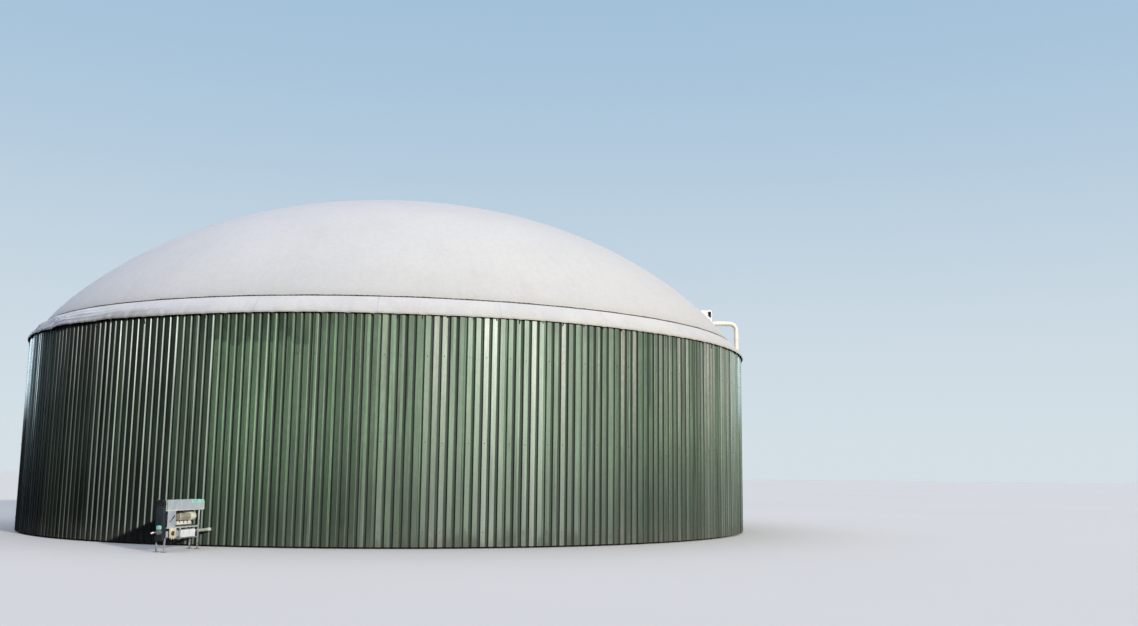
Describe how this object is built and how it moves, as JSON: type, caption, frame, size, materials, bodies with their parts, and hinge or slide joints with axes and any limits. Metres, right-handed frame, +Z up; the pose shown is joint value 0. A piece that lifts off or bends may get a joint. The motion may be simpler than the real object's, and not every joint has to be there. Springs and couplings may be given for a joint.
{
  "type": "biogas digester",
  "caption": "Round concrete digester tank in green ribbed cladding, under a white membrane gas dome, with a through-wall mixer drive, air pipe and air outlet.",
  "frame": {"origin": "centre of the tank floor's underside, at ground level", "axes": "+Z up along the tank's axis; -Y towards the side with the mixer drive in view, +X to the right"},
  "size_m": [23.4052, 24.3612, 10.638],
  "materials": {
    "concrete": "cast concrete, matt",
    "cladding_green": "coil-coated steel sheet, satin, weathered",
    "membrane": "coated polyester membrane, matt, light grey-white",
    "skirt_white": "coated polyester membrane, off-white, dirt along the hem",
    "outlet_white": "white plastic housing, satin",
    "seam_grey": "welded seam, darkened by dirt",
    "galvanised": "galvanised steel, dull",
    "machine_grey": "light grey painted sheet steel, weathered",
    "guard_black": "dark grey paint, satin",
    "motor_grey": "grey paint on cast iron",
    "cream": "cream plastic and paint, satin",
    "rubber": "black rubber, matt",
    "teal": "pale teal paint, satin"
  },
  "bodies": {
    "root": {"tank_floor": "concrete", "tank_wall_1": "concrete", "tank_wall_2": "concrete", "tank_wall_3": "concrete", "tank_wall_4": "concrete", "tank_wall_5": "concrete", "tank_wall_6": "concrete", "tank_wall_7": "concrete", "tank_wall_8": "concrete", "tank_wall_9": "concrete", "tank_wall_10": "concrete", "cladding_1": "cladding_green", "cladding_2": "cladding_green", "cladding_3": "cladding_green", "cladding_4": "cladding_green", "cladding_5": "cladding_green", "cladding_6": "cladding_green", "cladding_7": "cladding_green", "cladding_8": "cladding_green", "cladding_9": "cladding_green", "cladding_10": "cladding_green", "cladding_rail_lower": "galvanised", "cladding_rail_middle": "galvanised", "cladding_rail_upper": "galvanised", "clamp_rail": "galvanised", "membrane_dome": "membrane", "membrane_skirt": "skirt_white", "seam_strip": "seam_grey", "air_outlet_box": "outlet_white", "air_outlet_flap": "rubber", "air_pipe": "cream", "air_pipe_collar": "galvanised", "air_pipe_clip_lower": "galvanised", "air_pipe_clip_middle": "galvanised", "air_pipe_clip_upper": "galvanised", "air_pipe_flange": "galvanised", "mixer_frame": "galvanised", "mixer_hood": "machine_grey", "mixer_belt_guard": "guard_black", "mixer_motor": "motor_grey", "mixer_motor_fan_cover": "cream", "mixer_motor_feet": "cream", "mixer_motor_plate": "galvanised", "mixer_bearing_housing": "machine_grey", "mixer_shaft_tube": "galvanised", "mixer_wall_sleeve": "rubber", "mixer_drive_shaft": "galvanised", "mixer_side_panel": "machine_grey", "isolator_box": "cream", "isolator_knob": "rubber", "mixer_outer_bearing": "machine_grey", "mixer_bearing_cap": "teal"}
  },
  "joints": []
}
